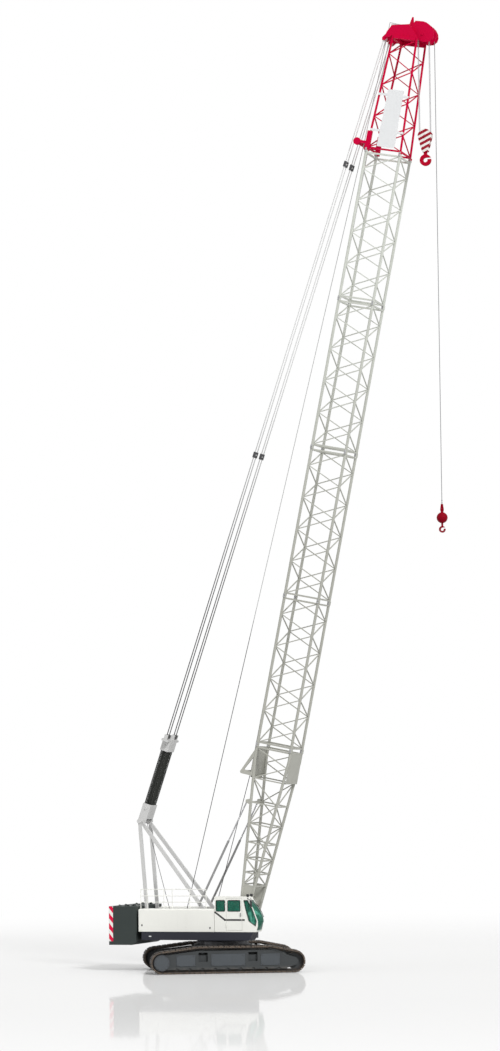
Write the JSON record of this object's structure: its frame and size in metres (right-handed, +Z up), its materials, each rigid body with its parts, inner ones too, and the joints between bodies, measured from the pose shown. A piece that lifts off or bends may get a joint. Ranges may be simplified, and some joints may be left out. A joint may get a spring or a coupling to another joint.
{
  "type": "half-scale lattice boom crawler crane",
  "caption": "Crawler crane with slewing upperworks, cab, gantry, tall lattice boom held by pendants, and two hooks on ropes from the boom head.",
  "frame": {"origin": "where the slew axis meets the ground, at the centre of the undercarriage", "axes": "+X forward of the upperworks, +Y to the machine's left, +Z up"},
  "size_m": [9.2845, 4.632, 25.5071],
  "materials": {
    "track_steel": "dark worn track shoes with tan edges",
    "frame_grey": "grey paint, dusty",
    "dark_steel": "dark greased steel",
    "navy_paint": "dark navy paint",
    "bare_steel": "dull steel",
    "white_paint": "glossy off-white paint",
    "weight_grey": "dark grey-green paint with a red and white warning strip",
    "engine_iron": "cast iron",
    "green_glass": "green tinted glass",
    "black_vinyl": "black vinyl",
    "dark_plastic": "dark plastic",
    "drum_grey": "grey paint",
    "gantry_grey": "light grey paint",
    "wire_rope": "dark wire rope",
    "boom_grey": "light silver-grey paint",
    "boom_red": "crimson paint",
    "block_white": "white with red diagonal stripes",
    "hook_red": "red paint, worn"
  },
  "bodies": {
    "undercarriage": {"track_left": "track_steel", "track_right": "track_steel", "track_frame_left": "frame_grey", "track_frame_right": "frame_grey", "track_rollers_left": "frame_grey", "track_rollers_right": "frame_grey", "drive_wheel_left": "frame_grey", "drive_wheel_right": "frame_grey", "idler_left": "frame_grey", "idler_right": "frame_grey", "carbody": "frame_grey", "slew_ring": "dark_steel"},
    "upperworks": {"deck": "navy_paint", "boom_foot_pins": "bare_steel", "house_left": "white_paint", "house_right": "white_paint", "counterweight_tray": "weight_grey", "counterweight_slabs": "weight_grey", "engine_block": "engine_iron", "cab_shell": "white_paint", "cab_windscreen": "green_glass", "cab_side_windows": "green_glass", "operator_seat": "black_vinyl", "cab_consoles": "dark_plastic", "winch_drums": "drum_grey", "winch_frames": "drum_grey", "gantry_rear_legs": "gantry_grey", "gantry_front_legs": "gantry_grey", "gantry_head": "gantry_grey", "handrails": "gantry_grey"},
    "cab_door": {"cab_door": "white_paint", "cab_door_window": "green_glass"},
    "lower_spreader": {"lower_spreader": "gantry_grey", "lower_spreader_sheaves": "dark_steel"},
    "boom": {"boom_butt": "boom_grey", "boom_insert_1": "boom_grey", "boom_insert_2": "boom_grey", "boom_insert_3": "boom_grey", "boom_insert_4": "boom_grey", "boom_tip": "boom_red", "boom_head": "boom_red", "head_sheaves": "boom_red", "rope_rollers": "boom_red", "guide_roller": "boom_grey", "sign_panel": "white_paint", "boom_ropes": "wire_rope", "hoist_ropes": "wire_rope", "pendant_left": "bare_steel", "pendant_right": "bare_steel", "upper_spreader": "gantry_grey", "upper_spreader_sheaves": "dark_steel", "boom_hoist_reeving": "wire_rope"},
    "backstop_tubes": {"backstop_tubes": "gantry_grey"},
    "backstop_rods": {"backstop_rods": "bare_steel"},
    "main_falls": {"main_falls": "wire_rope"},
    "hook_block": {"hook_block": "block_white", "main_hook": "hook_red"},
    "single_fall": {"single_fall": "wire_rope"},
    "ball_hook": {"ball_hook": "hook_red"}
  },
  "joints": [
    {"name": "slew", "type": "hinge", "parent": "undercarriage", "child": "upperworks", "pos_m": [0, 0, 0.79], "axis": [0, 0, 1], "continuous": true},
    {"name": "cab_door", "type": "hinge", "parent": "upperworks", "child": "cab_door", "pos_m": [0.467, -1.01, 1.5], "axis": [0, 0, -1], "range_deg": [0, 100]},
    {"name": "luff", "type": "hinge", "parent": "upperworks", "child": "boom", "pos_m": [0.745, 0, 1.39], "axis": [0, 1, 0], "range_deg": [-3.5, 46], "deforming": ["boom_hoist_reeving", "hoist_ropes"]},
    {"name": "lower_spreader", "type": "hinge", "parent": "upperworks", "child": "lower_spreader", "pos_m": [-2.205, 0, 4], "axis": [0, 1, 0], "range_deg": [-5, 48]},
    {"name": "backstop_swing", "type": "hinge", "parent": "upperworks", "child": "backstop_tubes", "pos_m": [-0.49032, 0, 1.76597], "axis": [0, 1, 0], "range_deg": [-5, 45]},
    {"name": "backstop_slide", "type": "slide", "parent": "backstop_tubes", "child": "backstop_rods", "axis": [0.4514, 0, 0.8923], "range_m": [-0.1, 0.9]},
    {"name": "main_fall_swing", "type": "hinge", "parent": "boom", "child": "main_falls", "pos_m": [6.03929, 0, 24.95624], "axis": [0, 1, 0], "range_deg": [-48, 5]},
    {"name": "main_hoist", "type": "slide", "parent": "main_falls", "child": "hook_block", "axis": [0, 0, 1], "range_m": [-20.3, 1.5], "deforming": ["main_falls"]},
    {"name": "single_fall_swing", "type": "hinge", "parent": "boom", "child": "single_fall", "pos_m": [6.10453, 0, 25.03977], "axis": [0, 1, 0], "range_deg": [-48, 5]},
    {"name": "single_line_hoist", "type": "slide", "parent": "single_fall", "child": "ball_hook", "axis": [0, 0, 1], "range_m": [-11.3, 11], "deforming": ["single_fall"]}
  ],
  "couplings": [
    {"joint": "lower_spreader", "follows": "luff", "ratio": 0.99869},
    {"joint": "backstop_swing", "follows": "luff", "ratio": 0.82765},
    {"joint": "backstop_slide", "follows": "luff", "m_per_rad": 1.1025},
    {"joint": "main_fall_swing", "follows": "luff", "ratio": -1},
    {"joint": "single_fall_swing", "follows": "luff", "ratio": -1}
  ]
}
